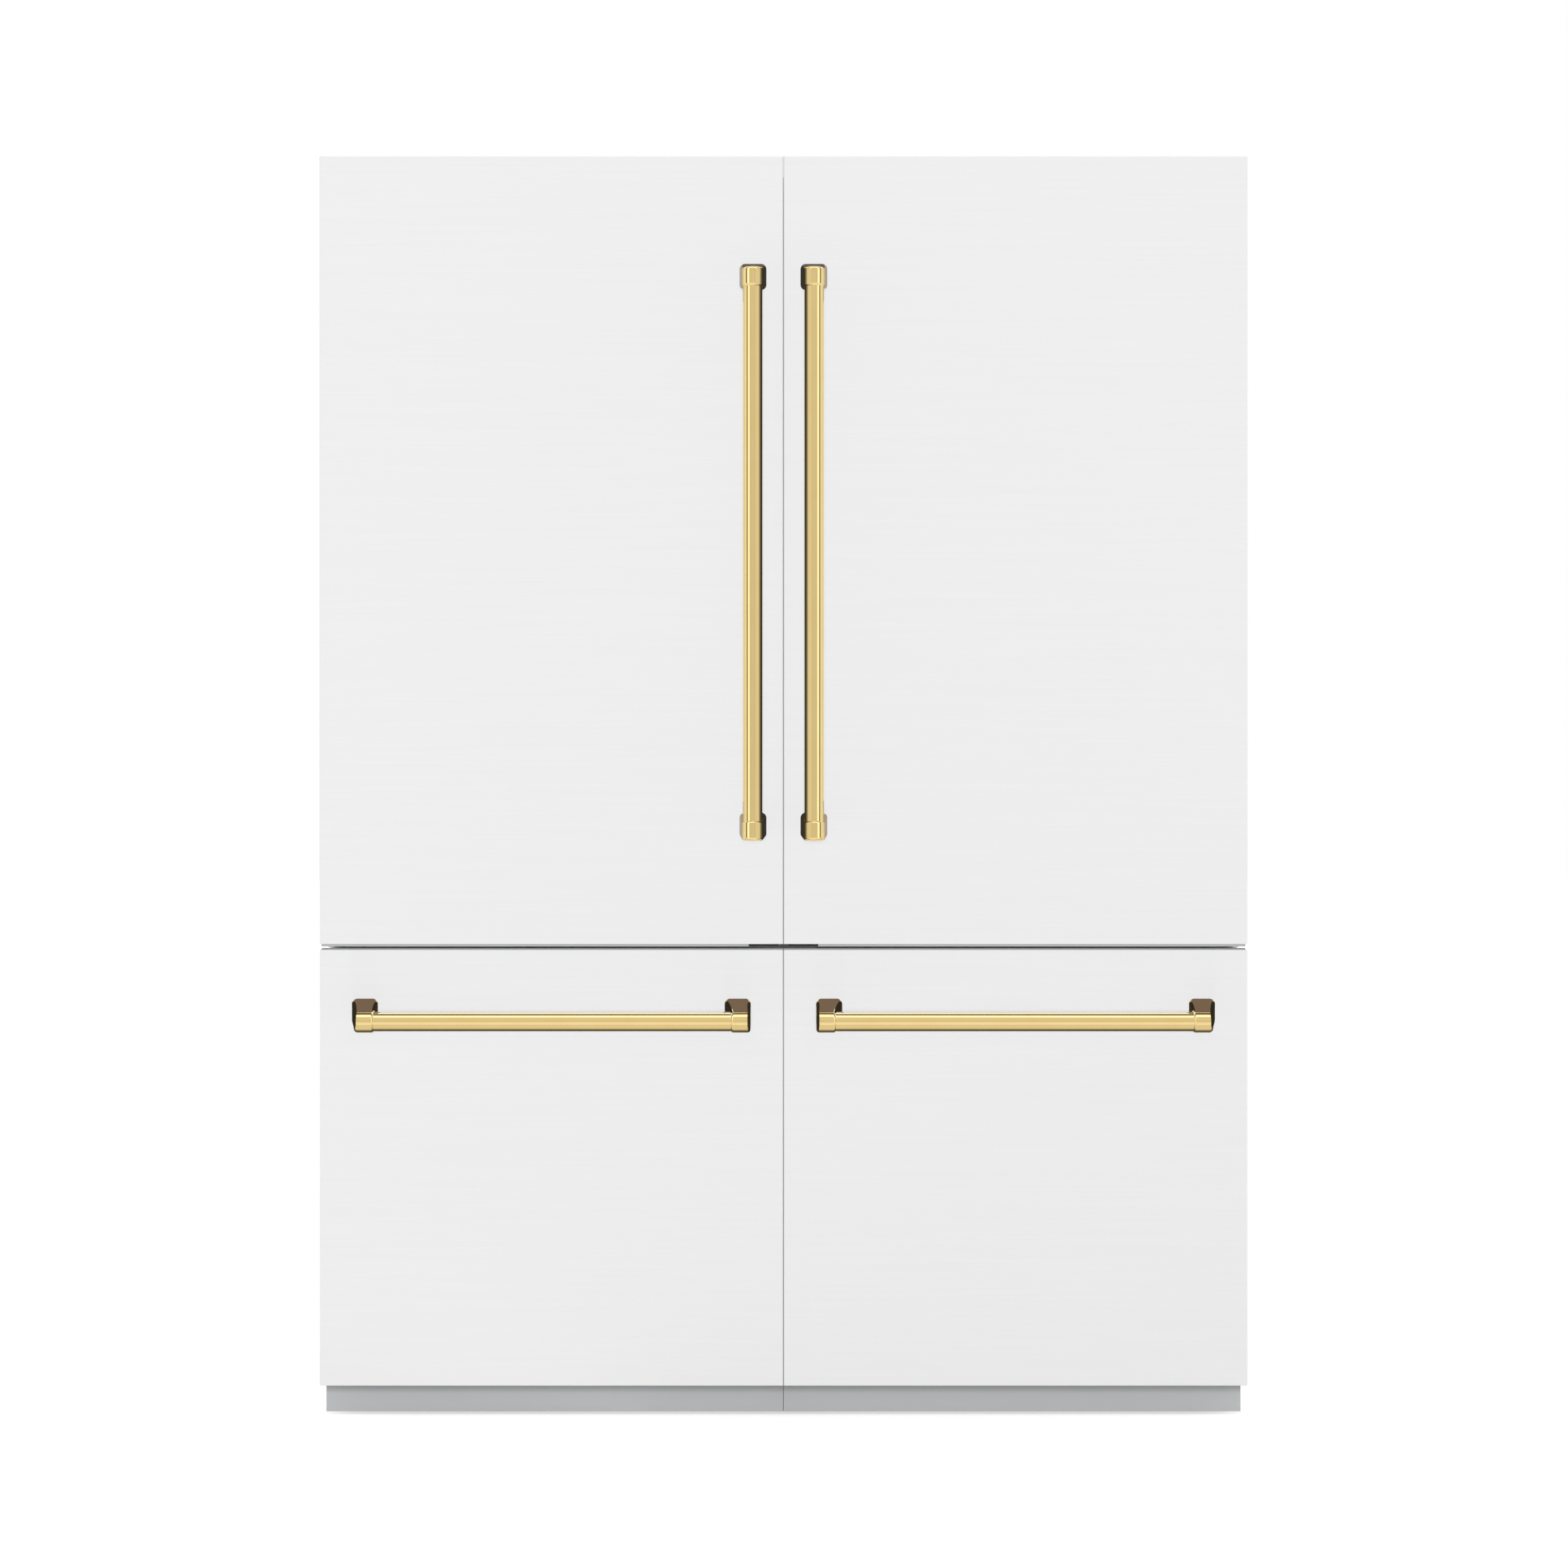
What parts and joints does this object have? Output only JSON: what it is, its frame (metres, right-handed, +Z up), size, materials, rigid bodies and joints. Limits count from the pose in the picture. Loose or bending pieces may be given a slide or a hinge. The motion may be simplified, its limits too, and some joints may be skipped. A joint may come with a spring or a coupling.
{
  "type": "french door refrigerator",
  "caption": "Wide free-standing refrigerator of joined columns, each with a hinged upper door over a sliding freezer drawer, with polished gold bar handles.",
  "frame": {"origin": "on the floor, under the middle of the bounding box", "axes": "+X to the right as seen from the front, -Y out of the doors, +Z up"},
  "size_m": [1.524, 0.691, 2.075],
  "materials": {
    "white_panel": "matte",
    "casing_paint": "satin",
    "grey_paint": "satin",
    "gold_bar": "polished",
    "gold_posts": "polished",
    "liner_plastic": "satin",
    "foam": "matte",
    "zinc_steel": "satin",
    "trim_aluminium": "satin",
    "dark_plastic": "matte",
    "grey_plastic": "satin",
    "clear_plastic": "clear",
    "light_cover": "satin",
    "black_enamel": "gloss",
    "brass_fitting": "satin",
    "gasket_rubber": "matte",
    "shelf_glass": "clear"
  },
  "bodies": {
    "root": {"left_casing": "casing_paint", "right_casing": "casing_paint", "fridge_liners": "liner_plastic", "freezer_liners": "liner_plastic", "insulation": "foam", "joining_strips": "grey_paint", "toe_kicks": "grey_paint", "base_frames": "zinc_steel", "levelling_feet": "dark_plastic", "top_hinges": "zinc_steel", "lower_hinges": "zinc_steel", "shelf_frames": "trim_aluminium", "shelf_glass": "shelf_glass", "crisper_drawers": "clear_plastic", "air_ducts": "liner_plastic", "light_strips": "light_cover", "control_panels": "dark_plastic", "dispenser_housings": "grey_plastic", "ice_makers": "liner_plastic", "slide_outer_rails": "zinc_steel", "compressors": "black_enamel", "condensers": "trim_aluminium", "rear_covers": "grey_paint", "water_inlets": "brass_fitting", "power_inlets": "dark_plastic"},
    "rollers": {"rear_rollers": "dark_plastic"},
    "left_door": {"left_door_panel": "white_panel", "left_door_body": "liner_plastic", "left_door_gasket": "gasket_rubber", "left_door_handle_bar": "gold_bar", "left_door_handle_posts": "gold_posts", "left_door_bins": "clear_plastic"},
    "left_drawer": {"left_drawer_panel": "white_panel", "left_drawer_body": "liner_plastic", "left_drawer_gasket": "gasket_rubber", "left_drawer_handle_bar": "gold_bar", "left_drawer_handle_posts": "gold_posts", "left_freezer_basket": "clear_plastic", "left_slide_inner_rails": "zinc_steel"},
    "left_slide": {"left_slide_middle_rails": "zinc_steel"},
    "left_tray": {"left_freezer_tray": "clear_plastic"},
    "left_button": {"left_water_button": "grey_plastic"},
    "left_fan": {"left_condenser_fan": "dark_plastic"},
    "right_door": {"right_door_panel": "white_panel", "right_door_body": "liner_plastic", "right_door_gasket": "gasket_rubber", "right_door_handle_bar": "gold_bar", "right_door_handle_posts": "gold_posts", "right_door_bins": "clear_plastic"},
    "right_drawer": {"right_drawer_panel": "white_panel", "right_drawer_body": "liner_plastic", "right_drawer_gasket": "gasket_rubber", "right_drawer_handle_bar": "gold_bar", "right_drawer_handle_posts": "gold_posts", "right_freezer_basket": "clear_plastic", "right_slide_inner_rails": "zinc_steel"},
    "right_slide": {"right_slide_middle_rails": "zinc_steel"},
    "right_tray": {"right_freezer_tray": "clear_plastic"},
    "right_button": {"right_water_button": "grey_plastic"},
    "right_fan": {"right_condenser_fan": "dark_plastic"}
  },
  "joints": [
    {"name": "left_door_hinge", "type": "hinge", "parent": "root", "child": "left_door", "pos_m": [-0.74, -0.2295, 1.42], "axis": [0, 0, -1], "range_deg": [0, 115]},
    {"name": "left_drawer_slide", "type": "slide", "parent": "root", "child": "left_drawer", "axis": [0, -1, 0], "range_m": [0, 0.43]},
    {"name": "left_slide_extension", "type": "slide", "parent": "root", "child": "left_slide", "axis": [0, -1, 0], "range_m": [0, 0.215]},
    {"name": "left_tray_slide", "type": "slide", "parent": "left_drawer", "child": "left_tray", "axis": [0, 1, 0], "range_m": [0, 0.15]},
    {"name": "left_water_button_press", "type": "slide", "parent": "root", "child": "left_button", "axis": [1, 0, 0], "range_m": [0, 0.004], "stiffness_N_per_m": 400, "springref_m": -0.001},
    {"name": "left_fan_spin", "type": "hinge", "parent": "root", "child": "left_fan", "pos_m": [-0.3785, 0.2505, 0.17], "axis": [1, 0, 0], "continuous": true},
    {"name": "right_door_hinge", "type": "hinge", "parent": "root", "child": "right_door", "pos_m": [0.74, -0.2295, 1.42], "axis": [0, 0, 1], "range_deg": [0, 115]},
    {"name": "right_drawer_slide", "type": "slide", "parent": "root", "child": "right_drawer", "axis": [0, -1, 0], "range_m": [0, 0.43]},
    {"name": "right_slide_extension", "type": "slide", "parent": "root", "child": "right_slide", "axis": [0, -1, 0], "range_m": [0, 0.215]},
    {"name": "right_tray_slide", "type": "slide", "parent": "right_drawer", "child": "right_tray", "axis": [0, 1, 0], "range_m": [0, 0.15]},
    {"name": "right_water_button_press", "type": "slide", "parent": "root", "child": "right_button", "axis": [-1, 0, 0], "range_m": [0, 0.004], "stiffness_N_per_m": 400, "springref_m": -0.001},
    {"name": "right_fan_spin", "type": "hinge", "parent": "root", "child": "right_fan", "pos_m": [0.3785, 0.2505, 0.17], "axis": [1, 0, 0], "continuous": true},
    {"name": "rear_roller_spin", "type": "hinge", "parent": "root", "child": "rollers", "pos_m": [0, 0.3005, 0.02], "axis": [1, 0, 0], "continuous": true}
  ],
  "couplings": [
    {"joint": "left_slide_extension", "follows": "left_drawer_slide", "ratio": 0.5},
    {"joint": "right_slide_extension", "follows": "right_drawer_slide", "ratio": 0.5}
  ]
}
